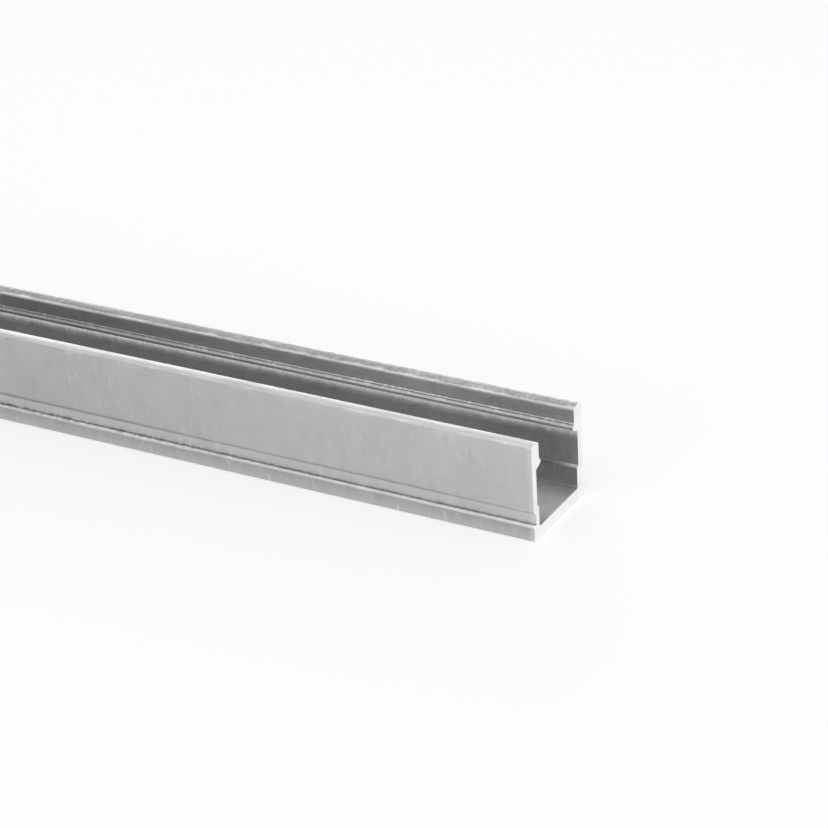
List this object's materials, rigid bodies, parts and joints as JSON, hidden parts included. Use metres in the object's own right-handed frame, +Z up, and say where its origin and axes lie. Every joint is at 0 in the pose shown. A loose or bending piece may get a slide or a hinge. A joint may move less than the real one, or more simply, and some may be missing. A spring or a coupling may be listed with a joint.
{
  "type": "aluminium led channel profile",
  "caption": "Square U-shaped aluminium extrusion, open at the top, with clip grooves above its feet, inner ledges for a light strip and snap beads for a cover.",
  "frame": {"origin": "middle of the flat underside, half way along the stock", "axes": "+X along the extrusion, towards the end that the picture shows; +Y across it; +Z up, out of the open side"},
  "size_m": [0.5, 0.016, 0.016],
  "materials": {
    "extrusion": "satin"
  },
  "bodies": {
    "root": {"channel": "extrusion"}
  },
  "joints": []
}
